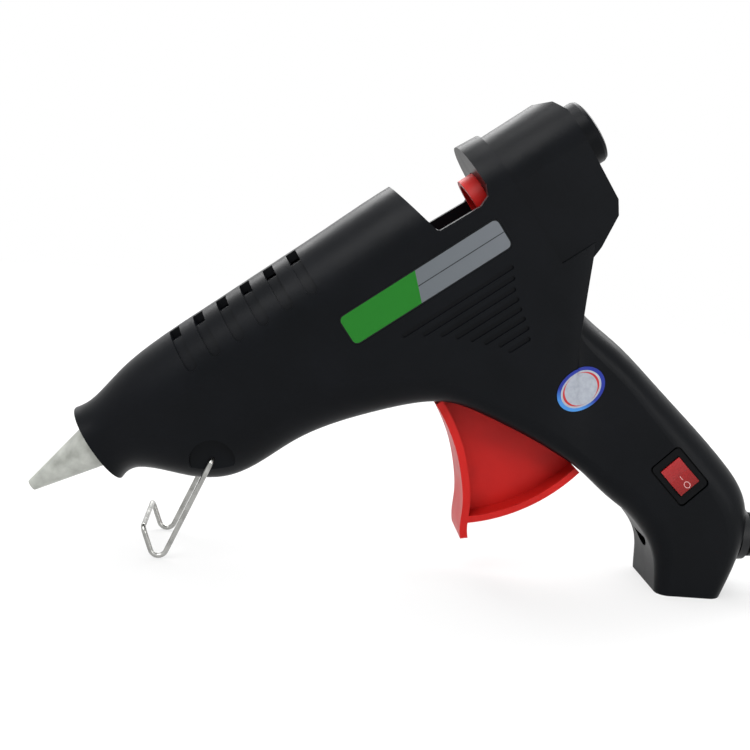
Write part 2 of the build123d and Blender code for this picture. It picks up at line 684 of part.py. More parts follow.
def rocker():
    half, low = ROCKER_SIZE[0] / 2, -10.3
    points = [(-half, -15.4), (0, -14.7), (half, -15.4), (half, -12.6), (2.2, low), (-2.2, low), (-half, -12.6)]
    plane = switch_plane()
    wire = Polyline([plane.from_local_coords(Vector(a, -ROCKER_SIZE[1] / 2, y)) for a, y in points], close=True)
    across = plane.y_dir * ROCKER_SIZE[1]
    body = Solid.extrude(Face(Wire(wire.edges())), across)
    body = body + plane * Pos(0, 0, ROCKER_AXIS_Y) * Rot(90, 0, 0) * Cylinder(0.8, 7.8)
    centre = plane.from_local_coords(Vector(0, 0, ROCKER_AXIS_Y))
    return body.rotate(Axis(centre, plane.y_dir), ROCKER_TILT)


def switch_terminals():
    blades = []
    for offset in (-3.6, 0.0, 3.6):
        blades.append(switch_plane() * Pos(offset, 0, 0.5) * Box(0.8, 4.8, 7.0))
    return Compound(blades)


def round_wire(points, radii, radius):
    path = FilletPolyline(points, radius=radii) if len(points) > 2 else Line(points[0], points[1])
    return sweep(Plane(origin=path @ 0, z_dir=path % 0) * Circle(radius), path=path)


def terminal_point(offset):
    return switch_plane().from_local_coords(Vector(offset, 0, 5.2 + LEAD_R))


def exit_point(distance, across=0.0):
    return at(*EXIT_CENTRE) + exit_axis() * distance + Vector(0, across, 0)


def lead_switch():
    start = exit_point(CORD_INNER_END - 1.3, -1.3)
    end = terminal_point(3.6)
    middle = Vector(start.X + 6.4, 2.5, start.Z + 6.3)
    return round_wire([start, middle, end], 2.0, LEAD_R)


def lead_up(start, aside, tab_y, tab_v):
    """A lead up the grip and along the barrel, beside the trigger and clear of it."""
    y = LEAD_Y
    points = [
        start,
        at(152.0 + aside, -94.0, y),
        at(151.0 + aside, -72.0, y),
        at(145.0 + aside, -44.0, y),
        at(136.0 + aside, LEAD_RUN_V - 2.0 + aside, y),
        at(118.0 + aside, LEAD_RUN_V + aside, y),
        at(103.0 + aside, LEAD_RUN_V + aside, y),
        at(96.4 + LEAD_R, tab_v, tab_y),
    ]
    return round_wire(points, 2.5, LEAD_R)


# ---- cord clamp and stand --------------------------------------------------------------------------------
def cord_clamp():
    bar_body = exit_plane(CLAMP_AT) * Pos(0, CORD_D / 2 + 0.8, 0) * Box(20.0, 3.2, 6.0)
    holes = [exit_plane(CLAMP_AT) * Pos(x, CORD_D / 2, 0) * Rot(90, 0, 0) * Cylinder(1.3, 12) for x in (-CLAMP_SCREW_X, CLAMP_SCREW_X)]
    return bar_body - exit_bar(-22, -10, CORD_D / 2 + RUN_GAP) - holes


def cord_clamp_screws():
    screws = []
    top = CORD_D / 2 + 0.8 + 1.6
    for x in (-CLAMP_SCREW_X, CLAMP_SCREW_X):
        shank = exit_plane(CLAMP_AT) * Pos(x, top - 4.5, 0) * Rot(90, 0, 0) * Cylinder(1.25, 9.0)
        head = exit_plane(CLAMP_AT) * Pos(x, top + 0.8, 0) * Rot(90, 0, 0) * Cylinder(2.4, 1.6)
        screws.append(shank + head)
    return Compound(screws)


def strain_relief():
    profile = [(-10.0, 5.9), (RELIEF_SEAT, 5.9), (RELIEF_SEAT, RELIEF_FLANGE_R), (2.8, RELIEF_FLANGE_R - 0.3)]
    count = 7
    for k in range(count):
        d = 2.8 + k * RELIEF_PITCH
        r = 6.9 - k * 0.4
        groove = r - 1.4
        profile += [(d + 0.1, groove), (d + 1.6, groove), (d + 1.6, r), (d + RELIEF_PITCH - 0.1, r - 0.2)]
    profile += [(RELIEF_END, 4.1), (RELIEF_END, CORD_D / 2 + RUN_GAP), (-10.0, CORD_D / 2 + RUN_GAP)]
    plane = Plane(origin=at(*EXIT_CENTRE), x_dir=exit_axis(), z_dir=(0, 1, 0))
    wire = Polyline([plane.from_local_coords(Vector(d, r, 0)) for d, r in profile], close=True)
    return Solid.revolve(Face(Wire(wire.edges())), 360, Axis(at(*EXIT_CENTRE), exit_axis()))


def wire_stand():
    y = STAND_LEG_Y
    hinge, corner, hook = STAND_HINGE, STAND_CORNER, STAND_HOOK
    points = [at(*hinge, -9.0), at(*hinge, -y), at(*corner, -y), at(*hook, -y)]
    points += [at(*hook, y), at(*corner, y), at(*hinge, y), at(*hinge, 9.0)]
    radii = [HINGE_BEND_R, STAND_BEND_R, 1.8, 1.8, STAND_BEND_R, HINGE_BEND_R]
    return round_wire(points, radii, WIRE_R)


# ---- cord, in the standing frame -------------------------------------------------------------------------
def stand_up(shape):
    """From the gun's frame to the frame it stands in, before the last move to the shared origin."""
    return Rot(0, -math.degrees(STAND_TILT), 0) * shape


def floor_height():
    return heights(STAND_TILT)[1]


def cord_points():
    """The route's corners: out of the relief, down to the floor, and along it into the hank."""
    tilt = STAND_TILT
    u, v = EXIT_CENTRE
    exit_x = u * math.cos(tilt) - v * math.sin(tilt)
    exit_z = u * math.sin(tilt) + v * math.cos(tilt) - floor_height()
    side = HANK_Y - HANK_LOOP_R
    inner_end = Vector(exit_x + CORD_INNER_END, 0, exit_z)
    past_relief = Vector(exit_x + RELIEF_END + CORD_STRAIGHT, 0, exit_z)
    on_floor = Vector(past_relief.X + CORD_DROP_RUN, side, CORD_D / 2)
    into_hank = on_floor + Vector(CORD_FLOOR_RUN, 0, 0)
    return [inner_end, past_relief, on_floor, into_hank]


def bend_radii(points):
    radii = []
    for a, b, c in zip(points, points[1:], points[2:]):
        turn = math.radians((b - a).get_angle(c - b))
        shorter = min((b - a).length, (c - b).length)
        radii.append(BEND_SHARE * shorter / math.tan(turn / 2))
    return radii


def cord_path():
    points = cord_points()
    return FilletPolyline(points, radius=bend_radii(points))


def along_cord(radius):
    path = cord_path()
    return sweep(Plane(origin=path @ 0, z_dir=path % 0) * Circle(radius), path=path)


def power_cord():
    tube = along_cord(CORD_D / 2)
    run = cord_path().length
    area = math.pi * (CORD_D / 2) ** 2
    print("cord arc radii, mm:", [round(r, 1) for r in bend_radii(cord_points())])
    print("cord run, mm:", round(run, 1), "volume against section times length:", round(tube.volume / (area * run), 4))
    return tube


def hank_angle():
    """How far each end loop turns past a half circle before it curves back into the waist."""
    return math.acos((HANK_WAIST_R + HANK_WAIST_HALF) / (HANK_LOOP_R + HANK_WAIST_R))


def hank_loop_at():
    """How far each end loop's centre is from the waist."""
    return (HANK_LOOP_R + HANK_WAIST_R) * math.sin(hank_angle())


def hank_layers():
    """The turns that take up the rest of the cord, one on another."""
    turn = 2 * HANK_LOOP_R * (math.pi + 2 * hank_angle()) + 4 * HANK_WAIST_R * hank_angle()
    return round((CORD_TOTAL - cord_path().length - TAIL_LENGTH) / turn)


def hank_height():
    return hank_layers() * CORD_D


def hank_centre():
    return Vector(cord_points()[-1].X + hank_loop_at(), HANK_Y, 0)


def tie_frame():
    """The tie's outer block, which wraps the waist."""
    half = HANK_WAIST_HALF + CORD_D / 2 + TIE_GAP + TIE_T
    height = hank_height() + TIE_GAP + TIE_T
    middle = hank_centre() + Vector(0, 0, height / 2)
    return middle, half, height


def hank_tie():
    middle, half, height = tie_frame()
    outer = Pos(middle) * Box(TIE_W, 2 * half, height)
    inner = Pos(middle) * Box(TIE_W + 1, 2 * (half - TIE_T), height - 2 * TIE_T)
    return fillet(outer.edges().filter_by(Axis.X), TIE_CORNER) - inner


def cord_hank():
    """The outer shape of the wound cord: two end loops and a waist held by the tie."""
    height = hank_height()
    outer_r = HANK_LOOP_R + CORD_D / 2
    waist_r = HANK_WAIST_R - CORD_D / 2
    joint_x = hank_loop_at() - outer_r * math.sin(hank_angle())
    joint_y = outer_r * math.cos(hank_angle())
    loops = [Pos(x, 0, 0) * Cylinder(outer_r, height) for x in (-hank_loop_at(), hank_loop_at())]
    slab = loops[0] + loops[1] + Box(2 * joint_x, 2 * joint_y, height)
    for y in (-1, 1):
        slab -= Pos(0, y * (HANK_WAIST_R + HANK_WAIST_HALF), 0) * Cylinder(waist_r, height + 1)
    slab = Pos(hank_centre() + Vector(0, 0, height / 2)) * slab
    middle, half, tie_height = tie_frame()
    tie_room = Pos(middle) * Box(TIE_W + 2 * TIE_GAP, 2 * half + 1, tie_height)
    core = Pos(middle) * Box(TIE_W + 2, 2 * (half - TIE_T - TIE_GAP), tie_height - 2 * (TIE_T + TIE_GAP))
    return slab - (tie_room - core) - along_cord(CORD_D / 2 + HANK_CHANNEL_GAP)


def tail_start():
    return hank_centre() + Vector(-TAIL_BACK, 0, hank_height() + TIE_T + TIE_GAP + CORD_D / 2 + TAIL_LIFT)


def tail_way():
    """The tail and the plug slope up a little, so that the plug's grip rests on the far loop."""
    rise = hank_height() + PLUG_GRIP[0] / 2 + TAIL_LIFT - tail_start().Z
    return Vector(TAIL_LENGTH + PLUG_LENGTH, 0, rise).normalized()


def cord_tail():
    start = tail_start()
    return round_wire([start, start + tail_way() * TAIL_LENGTH], None, CORD_D / 2)


def plug_frame(distance):
    origin = tail_start() + tail_way() * (TAIL_LENGTH + distance)
    return Plane(origin=origin, x_dir=(0, 1, 0), z_dir=tail_way())


def plug_body():
    boot = loft([
        plug_frame(0.0) * Circle(PLUG_BOOT_R[0]),
        plug_frame(PLUG_BOOT_LENGTH) * Circle(PLUG_BOOT_R[1]),
    ])
    grip = loft([
        plug_frame(PLUG_BOOT_LENGTH) * RectangleRounded(PLUG_SHOULDER[1], PLUG_SHOULDER[0], PLUG_SHOULDER_ROUND),
        plug_frame(PLUG_LENGTH) * RectangleRounded(PLUG_GRIP[1], PLUG_GRIP[0], PLUG_GRIP_ROUND),
    ])
    return boot + grip


def plug_blades():
    width, thickness, length = PLUG_BLADE
    blades = [
        plug_frame(PLUG_LENGTH + length / 2) * Pos(side * BLADE_PITCH / 2, 0, 0) * Box(thickness, width, length)
        for side in (-1, 1)
    ]
    return Compound(blades)


# ---- all nodes -------------------------------------------------------------------------------------------
def all_nodes():
    shell_left, shell_right = housing_halves()
    neutral = exit_point(CORD_INNER_END - 1.3, 1.5)
    gun = {
        "left_housing": left_housing(shell_left),
        "right_housing": right_housing(shell_right),
        "housing_screws": housing_screws(),
        "label_plate": label_plate(),
        "oval_sticker": oval_sticker(),
        "trigger": trigger(),
        "trigger_pivot_pin": rod(PIVOT[0], PIVOT[1], -13.9, 13.9, PIVOT_R),
        "trigger_spring": trigger_spring(),
        "feed_carriage": feed_carriage(),
        "clamp_jaw": clamp_jaw(),
        "clamp_pin": rod(JAW_PIN[0], JAW_PIN[1], -PLATE_Y[1], PLATE_Y[1], JAW_PIN_R),
        "nozzle": nozzle(),
        "melt_chamber": melt_chamber(),
        "front_ring": chamber_ring(RING_US[0], CHAMBER_R),
        "rear_ring": chamber_ring(RING_US[1], SPIGOT_R),
        "ptc_heater": ptc_heater(),
        "electrode_upper": electrode(True),
        "electrode_lower": electrode(False),
        "inlet_sleeve": inlet_sleeve(),
        "sleeve_clamp": sleeve_clamp(),
        "switch_body": switch_body(),
        "rocker": rocker(),
        "switch_terminals": switch_terminals(),
        "lead_switch": lead_switch(),
        "lead_live": lead_up(terminal_point(0.0), 3.0, -3.2, HEATER_SLOT_V[1] - 0.4),
        "lead_neutral": lead_up(neutral, 0.0, 3.2, HEATER_SLOT_V[0] + 0.4),
        "cord_clamp": cord_clamp(),
        "cord_clamp_screws": cord_clamp_screws(),
        "wire_stand": wire_stand(),
    }
    lift = Vector(0, 0, -floor_height())
    nodes = {name: Pos(lift) * stand_up(shape) for name, shape in gun.items()}
    boxes = [shape.bounding_box() for shape in nodes.values()]
    middle = (min(b.min.X for b in boxes) + max(b.max.X for b in boxes)) / 2
    nodes["strain_relief"] = Pos(lift) * stand_up(strain_relief())
    nodes["power_cord"] = power_cord()
    nodes["cord_hank"] = cord_hank()
    nodes["hank_tie"] = hank_tie()
    nodes["cord_tail"] = cord_tail()
    nodes["plug_body"] = plug_body()
    nodes["plug_blades"] = plug_blades()
    return {name: Pos(-middle, 0, 0) * shape for name, shape in nodes.items()}, middle


def standing(u, v, y, middle):
    """A gun-frame point in the shared frame, for the record."""
    tilt = STAND_TILT
    x = u * math.cos(tilt) - v * math.sin(tilt) - middle
    z = u * math.sin(tilt) + v * math.cos(tilt) - floor_height()
    return round(x, 4), y, round(z, 4)


os.makedirs("parts", exist_ok=True)
built, shift = all_nodes()
for name, shape in built.items():
    export_step(shape, "parts/" + name + ".step")
print("tilt, degrees:", round(math.degrees(STAND_TILT), 4), "origin shift, mm:", round(shift, 4))
for name, (u, v, y) in {
    "trigger pivot": (PIVOT[0], PIVOT[1], 0),
    "stand hinge": (STAND_HINGE[0], STAND_HINGE[1], 0),
    "jaw pin": (JAW_PIN[0], JAW_PIN[1], 0),
    "rocker axis": (SWITCH_CENTRE[0], SWITCH_CENTRE[1], ROCKER_AXIS_Y),
    "stick inlet": (GUN_END_U, 0, 0),
    "stick bore": (GUN_END_U - 4.0, 0, 0),
    "nozzle tip": (0, 0, 0),
}.items():
    print(name, standing(u, v, y, shift))
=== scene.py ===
import json
import math

import bpy
from mathutils import Matrix, Vector


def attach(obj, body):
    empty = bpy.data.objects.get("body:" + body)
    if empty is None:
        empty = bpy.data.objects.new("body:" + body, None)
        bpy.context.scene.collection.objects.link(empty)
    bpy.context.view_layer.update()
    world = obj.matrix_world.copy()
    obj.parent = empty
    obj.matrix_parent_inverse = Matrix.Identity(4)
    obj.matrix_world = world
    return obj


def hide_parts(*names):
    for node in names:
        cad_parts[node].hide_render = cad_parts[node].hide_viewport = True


# Hot-melt glue gun on its wire stand. Everything is in metres, in the frame of the CAD model.
MM = 0.001
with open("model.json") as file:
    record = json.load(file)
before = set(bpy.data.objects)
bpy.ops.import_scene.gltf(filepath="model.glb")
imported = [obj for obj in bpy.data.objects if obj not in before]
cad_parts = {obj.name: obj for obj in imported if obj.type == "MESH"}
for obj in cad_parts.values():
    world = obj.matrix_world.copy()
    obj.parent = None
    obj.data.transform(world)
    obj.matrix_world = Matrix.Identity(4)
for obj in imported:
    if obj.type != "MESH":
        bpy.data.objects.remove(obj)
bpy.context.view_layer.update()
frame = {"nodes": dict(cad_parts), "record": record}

# ---- the gun's own frame: u runs back along the stick, v is square to it and up, y runs across -----------
PIVOT_GUN = (129.3, -30.5)
HINGE_GUN = (51.3, -20.5)
joints = {joint["name"]: joint for joint in frame["record"]["behaviour"]["joints"]}
pivot_at = Vector(joints["trigger_pull"]["pos_m"])
hinge_at = Vector(joints["stand_fold"]["pos_m"])
gun_angle = math.atan2(PIVOT_GUN[1] - HINGE_GUN[1], PIVOT_GUN[0] - HINGE_GUN[0])
stood_angle = math.atan2(pivot_at.z - hinge_at.z, pivot_at.x - hinge_at.x)
LEAN = stood_angle - gun_angle
U_AXIS = Vector((math.cos(LEAN), 0.0, math.sin(LEAN)))
V_AXIS = Vector((-math.sin(LEAN), 0.0, math.cos(LEAN)))
Y_AXIS = Vector((0.0, 1.0, 0.0))


def gun(u, v, y=0.0):
    """A point of the gun's own frame, given in millimetres, in the shared frame."""
    along = (u - PIVOT_GUN[0]) * MM
    above = (v - PIVOT_GUN[1]) * MM
    return pivot_at + U_AXIS * along + V_AXIS * above + Y_AXIS * (y * MM)


# ---- camera ----------------------------------------------------------------------------------------------
CAMERA_FROM = gun(115.84, 40.99, -350.0)
CAMERA_TO = gun(103.95, -27.50, 0.0)
CAMERA_UP = U_AXIS * 0.5316 + V_AXIS * 0.8470
LENS_MM = 57.09


def make_camera():
    data = bpy.data.cameras.new("camera")
    data.lens = LENS_MM
    data.clip_start = 0.01
    camera = bpy.data.objects.new("camera", data)
    bpy.context.scene.collection.objects.link(camera)
    back = (CAMERA_FROM - CAMERA_TO).normalized()
    right = CAMERA_UP.cross(back).normalized()
    turn = Matrix((right, back.cross(right), back)).transposed()
    camera.matrix_world = Matrix.Translation(CAMERA_FROM) @ turn.to_4x4()
    bpy.context.scene.camera = camera


# ---- nodes and patterns ----------------------------------------------------------------------------------
NOISE_DETAIL = 3.0
NOISE_SPAN = (0.3, 0.7)


def linear(hex_colour):
    """An sRGB hex colour as linear RGBA."""
    out = []
    for k in (0, 2, 4):
        c = int(hex_colour[k:k + 2], 16) / 255
        out.append(c / 12.92 if c <= 0.04045 else ((c + 0.055) / 1.055) ** 2.4)
    return (*out, 1.0)


def add(tree, kind, inputs=None, **settings):
    """Adds a node. Each of its inputs takes a plain value or another node's output."""
    node = tree.nodes.new(kind)
    for name, value in settings.items():
        setattr(node, name, value)
    for key, value in (inputs or {}).items():
        if isinstance(value, bpy.types.NodeSocket):
            tree.links.new(value, node.inputs[key])
        else:
            node.inputs[key].default_value = value
    return node


def begin(name):
    """An empty material, and the place of its surface points."""
    material = bpy.data.materials.new(name)
    material.use_nodes = True
    tree = material.node_tree
    tree.nodes.clear()
    return material, tree, add(tree, "ShaderNodeTexCoord").outputs["Object"]


def grain(tree, place, size_mm, depth_mm, strength):
    """A finely uneven surface, as a bumped normal, with features about size_mm across."""
    scale = 1 / (size_mm * MM)
    noise = add(tree, "ShaderNodeTexNoise", {"Vector": place, "Scale": scale, "Detail": NOISE_DETAIL})
    height = {"Height": noise.outputs["Fac"], "Strength": strength, "Distance": depth_mm * MM}
    return add(tree, "ShaderNodeBump", height).outputs["Normal"]


def drift(tree, place, size_mm, low, high):
    """A value that drifts between two, over patches about size_mm across."""
    scale = 1 / (size_mm * MM)
    noise = add(tree, "ShaderNodeTexNoise", {"Vector": place, "Scale": scale, "Detail": NOISE_DETAIL})
    spread = {"Value": noise.outputs["Fac"], "From Min": NOISE_SPAN[0], "From Max": NOISE_SPAN[1]}
    return add(tree, "ShaderNodeMapRange", {**spread, "To Min": low, "To Max": high}).outputs["Result"]


def patches(tree, place, size_mm, colours, roughness):
    """A colour and a roughness that drift together between two values."""
    share = drift(tree, place, size_mm, 0.0, 1.0)
    first, second = (linear(colour) for colour in colours)
    colour = add(tree, "ShaderNodeMix", {"Factor": share, 6: first, 7: second}, data_type="RGBA")
    return {"Base Color": colour.outputs[2], "Roughness": drift(tree, place, size_mm, *roughness)}


def gun_place(tree, place, centre, turn=0.0, size=(1.0, 1.0)):
    """Where a surface point lies from a centre on the gun's side, along and across, in units of size."""
    inputs = {
        "Vector": place,
        "Location": gun(*centre),
        "Rotation": (0.0, -LEAN - math.radians(turn), 0.0),
        "Scale": (size[0] * MM, 1.0, size[1] * MM),
    }
    return add(tree, "ShaderNodeMapping", inputs, vector_type="TEXTURE").outputs["Vector"]


def finish(material, tree, inputs):
    """The shader and the output. Values that are the same all over sit on the shader's own sockets."""
    shader = add(tree, "ShaderNodeBsdfPrincipled", inputs)
    add(tree, "ShaderNodeOutputMaterial", {"Surface": shader.outputs["BSDF"]})
    return material


# ---- materials -------------------------------------------------------------------------------------------
def moulded_abs():
    """ABS moulded in a spark-eroded tool: near black, with a fine even grain and a soft, wide sheen."""
    material, tree, place = begin("moulded_abs")
    inputs = patches(tree, place, 16.0, ("05070a", "080a0e"), (0.34, 0.42))
    inputs["Specular IOR Level"] = 0.09
    inputs["Normal"] = grain(tree, place, 0.4, 0.05, 0.3)
    return finish(material, tree, inputs)


def moulded_polypropylene():
    """Polypropylene moulded in a polished tool: bright red and satin, with a little depth to the light."""
    material, tree, place = begin("moulded_polypropylene")
    inputs = patches(tree, place, 9.0, ("b41a17", "be1e1a"), (0.36, 0.46))
    inputs["Subsurface Weight"] = 0.05
    inputs["Subsurface Scale"] = 2.0 * MM
    inputs["Specular IOR Level"] = 0.15
    inputs["Normal"] = grain(tree, place, 2.4, 0.03, 0.15)
    return finish(material, tree, inputs)


TOOL_PITCH = 0.7
RING_SHARE = 0.3
GRIT_SIZE = 0.5


def turned_aluminium():
    """Blasted turned aluminium: pale and cloudy, with faint rings round its axis and smudges of heat."""
    material, tree, place = begin("turned_aluminium")
    inputs = patches(tree, place, 4.5, ("8f918b", "b6b8b2"), (0.40, 0.56))
    along = gun_place(tree, place, (0.0, 0.0), size=(TOOL_PITCH, TOOL_PITCH))
    rings = add(tree, "ShaderNodeTexWave", {"Vector": along, "Scale": 1 / math.tau, "Distortion": 0.4})
    scale = 1 / (GRIT_SIZE * MM)
    grit = add(tree, "ShaderNodeTexNoise", {"Vector": place, "Scale": scale, "Detail": NOISE_DETAIL})
    both = {0: rings.outputs["Fac"], 1: RING_SHARE, 2: grit.outputs["Fac"]}
    height = add(tree, "ShaderNodeMath", both, operation="MULTIPLY_ADD").outputs["Value"]
    bump = add(tree, "ShaderNodeBump", {"Height": height, "Strength": 0.4, "Distance": 0.03 * MM})
    inputs["Normal"] = bump.outputs["Normal"]
    inputs["Metallic"] = 0.45
    return finish(material, tree, inputs)


def cast_aluminium():
    """Die-cast aluminium: duller than the turned piece, and slightly pitted."""
    material, tree, place = begin("cast_aluminium")
    inputs = patches(tree, place, 6.0, ("a5a6a4", "c4c5c3"), (0.42, 0.60))
    inputs["Metallic"] = 1.0
    inputs["Normal"] = grain(tree, place, 0.9, 0.05, 0.4)
    return finish(material, tree, inputs)


def drawn_steel():
    """Nickel-plated drawn wire: bright, with fine scratches and a few dull spots."""
    material, tree, place = begin("drawn_steel")
    inputs = patches(tree, place, 3.0, ("8e8e8b", "adadaa"), (0.18, 0.36))
    inputs["Metallic"] = 1.0
    inputs["Normal"] = grain(tree, place, 0.5, 0.01, 0.2)
    return finish(material, tree, inputs)


def zinc_steel():
    """Zinc-plated steel: slightly blue, with the cloudy crystals of the plating."""
    material, tree, place = begin("zinc_steel")
    inputs = patches(tree, place, 1.5, ("a6abb0", "c0c4c8"), (0.28, 0.46))
    inputs["Metallic"] = 1.0
    inputs["Normal"] = grain(tree, place, 1.5, 0.01, 0.3)
    return finish(material, tree, inputs)


def rolled_brass():
    """Rolled brass strip: warm and fairly bright, with a thin tarnish in patches."""
    material, tree, place = begin("rolled_brass")
    inputs = patches(tree, place, 3.0, ("b8934e", "d8b76c"), (0.24, 0.42))
    inputs["Metallic"] = 1.0
    inputs["Normal"] = grain(tree, place, 0.5, 0.01, 0.2)
    return finish(material, tree, inputs)


def soft_pvc():
    """Extruded and moulded soft PVC: black and faintly waxy, with shallow flow marks."""
    material, tree, place = begin("soft_pvc")
    inputs = patches(tree, place, 12.0, ("101113", "16171a"), (0.42, 0.56))
    inputs["Specular IOR Level"] = 0.25
    inputs["Normal"] = grain(tree, place, 1.0, 0.03, 0.25)
    return finish(material, tree, inputs)


STRIP_LINE = 2.0


def cut_pvc_strip():
    """PVC strip cut for a cord tie: matt black, with fine lines along the strip."""
    material, tree, place = begin("cut_pvc_strip")
    inputs = patches(tree, place, 4.0, ("17181a", "1f2123"), (0.58, 0.66))
    lines = add(tree, "ShaderNodeTexWave", {"Vector": place, "Scale": 1 / (math.tau * STRIP_LINE * MM)})
    height = {"Height": lines.outputs["Fac"], "Strength": 0.5, "Distance": 0.04 * MM}
    bump = add(tree, "ShaderNodeBump", height)
    inputs["Normal"] = bump.outputs["Normal"]
    return finish(material, tree, inputs)


def cast_silicone():
    """Cast silicone rubber: brick red and matt, with a skin of fine dimples."""
    material, tree, place = begin("cast_silicone")
    inputs = patches(tree, place, 5.0, ("84331f", "97412b"), (0.58, 0.66))
    inputs["Normal"] = grain(tree, place, 1.2, 0.03, 0.3)
    return finish(material, tree, inputs)


def pressed_phenolic():
    """Pressed phenolic board: brown, with darker flecks of its filler."""
    material, tree, place = begin("pressed_phenolic")
    inputs = patches(tree, place, 0.7, ("3f2817", "74492b"), (0.56, 0.68))
    inputs["Normal"] = grain(tree, place, 0.7, 0.04, 0.3)
    return finish(material, tree, inputs)


def fired_ceramic():
    """Fired barium titanate: dark grey and matt, with a gritty face."""
    material, tree, place = begin("fired_ceramic")
    inputs = patches(tree, place, 2.0, ("3c3e42", "4b4d51"), (0.68, 0.78))
    inputs["Normal"] = grain(tree, place, 0.4, 0.02, 0.4)
    return finish(material, tree, inputs)


def moulded_nylon():
    """Black nylon moulded smooth, for the switch's case: even, and as dark as the housing."""
    material, tree, place = begin("moulded_nylon")
    inputs = patches(tree, place, 5.0, ("050608", "08090b"), (0.40, 0.48))
    inputs["Specular IOR Level"] = 0.08
    inputs["Normal"] = grain(tree, place, 3.0, 0.02, 0.2)
    return finish(material, tree, inputs)


SWITCH_CENTRE = (164.6, -100.3)
SWITCH_TURN = -81.5
ROCKER_HALF = 4.7


def tinted_polycarbonate():
    """Red tinted polycarbonate over a dark hollow: glossy, with painted shade that darkens it towards its
    lower end.
    """
    material, tree, place = begin("tinted_polycarbonate")
    along = gun_place(tree, place, SWITCH_CENTRE, SWITCH_TURN, (2 * ROCKER_HALF, 2 * ROCKER_HALF))
    # painted shade: the colour runs from a01d20 at the rocker's upper end to 74100f at its lower end
    down = add(tree, "ShaderNodeSeparateXYZ", {"Vector": along}).outputs["X"]
    share = add(tree, "ShaderNodeMapRange", {"Value": down, "From Min": -0.5, "From Max": 0.5})
    layer = {"Factor": share.outputs["Result"], 6: linear("a01d20"), 7: linear("74100f")}
    inputs = {"Base Color": add(tree, "ShaderNodeMix", layer, data_type="RGBA").outputs[2]}
    inputs["Roughness"] = drift(tree, place, 1.8, 0.22, 0.32)
    inputs["Specular IOR Level"] = 0.25
    inputs["Transmission Weight"] = 0.05
    inputs["Coat Weight"] = 0.1
    inputs["Coat Roughness"] = 0.1
    inputs["Normal"] = grain(tree, place, 1.8, 0.02, 0.15)
    return finish(material, tree, inputs)


def pad_ink():
    """Pad-printed ink over red plastic: a soft pinkish white with a slightly uneven film."""
    material, tree, place = begin("pad_ink")
    inputs = patches(tree, place, 0.4, ("c78f8e", "dbb1af"), (0.46, 0.54))
    inputs["Normal"] = grain(tree, place, 0.3, 0.01, 0.3)
    return finish(material, tree, inputs)


LABEL_CENTRE = (130.7, -9.4)
LABEL_HALF = (26.6, 4.8)
LABEL_CORNER = 1.9
LABEL_SHADE_BAND = 0.35
LABEL_GREEN_END = -2.4
LABEL_GREEN_SLANT = 0.36
LABEL_RULE_V = 0.15
LABEL_RULE_HALF = 0.13


def printed_foil():
    """Screen-printed satin foil: silver, a green field over its front and one rule; a painted reflection
    lightens the silver towards its rear end, and a dark edge of painted shade runs round it.
    """
    material, tree, place = begin("printed_foil")
    local = gun_place(tree, place, LABEL_CENTRE)
    parts = add(tree, "ShaderNodeSeparateXYZ", {"Vector": local})
    slant = {0: local, 1: (1.0, 0.0, -LABEL_GREEN_SLANT)}
    slanted = add(tree, "ShaderNodeVectorMath", slant, operation="DOT_PRODUCT").outputs["Value"]
    green = add(tree, "ShaderNodeMath", {0: slanted, 1: LABEL_GREEN_END}, operation="LESS_THAN")
    rule_span = {0: parts.outputs["Z"], 1: LABEL_RULE_V, 2: LABEL_RULE_HALF}
    rule = add(tree, "ShaderNodeMath", rule_span, operation="COMPARE")
    # how far a point is past the straight part of the edge, measured round the corners
    straight = (LABEL_HALF[0] - LABEL_CORNER, 1.0, LABEL_HALF[1] - LABEL_CORNER)
    folded = add(tree, "ShaderNodeVectorMath", {0: local}, operation="ABSOLUTE")
    past = add(tree, "ShaderNodeVectorMath", {0: folded.outputs["Vector"], 1: straight}, operation="SUBTRACT")
    past = add(tree, "ShaderNodeVectorMath", {0: past.outputs["Vector"], 1: (0, 0, 0)}, operation="MAXIMUM")
    past = add(tree, "ShaderNodeVectorMath", {0: past.outputs["Vector"]}, operation="LENGTH")
    # painted shade: a dark band this wide round the label's rim stands in for the shade of the recess it sits
    # in
    edge_at = LABEL_CORNER - LABEL_SHADE_BAND
    edge_shade = add(tree, "ShaderNodeMath", {0: past.outputs["Value"], 1: edge_at}, operation="GREATER_THAN")
    # painted reflection: the silver is painted lighter from 5a6064 at the front end to 666a6f at the rear end
    ends = {"From Min": -LABEL_HALF[0], "From Max": LABEL_HALF[0]}
    painted_sheen = add(tree, "ShaderNodeMapRange", {"Value": parts.outputs["X"], **ends})
    silver = {"Factor": painted_sheen.outputs["Result"], 6: linear("5a6064"), 7: linear("666a6f")}
    colour = add(tree, "ShaderNodeMix", silver, data_type="RGBA")
    # the rule and the green field are print; the dark 0f1113 band round the edge is painted shade
    for mask, ink in ((rule, "24272a"), (green, "1d6c1f"), (edge_shade, "0f1113")):
        layer = {"Factor": mask.outputs["Value"], 6: colour.outputs[2], 7: linear(ink)}
        colour = add(tree, "ShaderNodeMix", layer, data_type="RGBA")
    inputs = {"Base Color": colour.outputs[2], "Roughness": drift(tree, place, 3.0, 0.36, 0.44)}
    inputs["Metallic"] = 0.1
    inputs["Specular IOR Level"] = 0.15
    inputs["Normal"] = grain(tree, place, 0.5, 0.01, 0.2)
    return finish(material, tree, inputs)


STICKER_CENTRE = (152.7, -60.6)
STICKER_HALF = (7.75, 6.0)
STICKER_RIM = 0.85
STICKER_FIELD = 0.77
CRESCENT_SQUEEZE = 0.88
RIM_FRONT = (-1.0, 0.0, -0.6)
RIM_TURNS = (0.3, 0.9)


